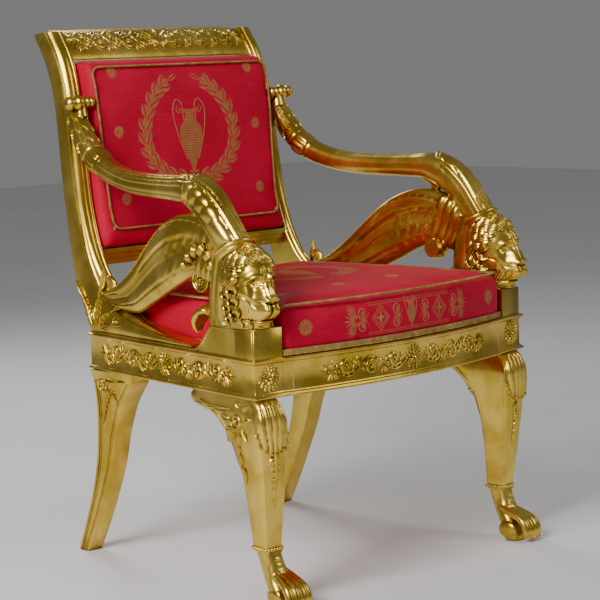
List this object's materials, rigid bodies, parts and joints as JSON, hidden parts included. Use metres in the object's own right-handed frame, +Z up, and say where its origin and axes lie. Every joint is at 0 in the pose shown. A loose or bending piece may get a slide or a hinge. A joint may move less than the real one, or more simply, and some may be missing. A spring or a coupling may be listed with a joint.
{
  "type": "armchair",
  "caption": "Gilded armchair with winged lion arm supports, paw feet, scrolled back, crimson seat and back pads, corded edges and carved foliate rails.",
  "frame": {"origin": "on the floor under the middle of the bounding box", "axes": "+Z up, the sitter faces -Y, +X is the side on the viewer's right seen from the front"},
  "size_m": [0.7182, 0.7394, 0.984],
  "materials": {
    "gilding": "burnished and matt gold leaf over carved wood",
    "crimson_silk": "satin silk with woven motifs",
    "gold_cord": "twisted and woven gold thread"
  },
  "bodies": {
    "root": {"front_rail": "gilding", "back_rail": "gilding", "crest_rail": "gilding", "lower_back_rail": "gilding", "left_side_rail": "gilding", "left_front_leg": "gilding", "left_rear_leg": "gilding", "left_stile": "gilding", "left_arm": "gilding", "left_winged_lion": "gilding", "right_side_rail": "gilding", "right_front_leg": "gilding", "right_rear_leg": "gilding", "right_stile": "gilding", "right_arm": "gilding", "right_winged_lion": "gilding", "seat_pad": "crimson_silk", "back_pad": "crimson_silk", "seat_cord": "gold_cord", "seat_braid": "gold_cord", "back_cord": "gold_cord"}
  },
  "joints": []
}
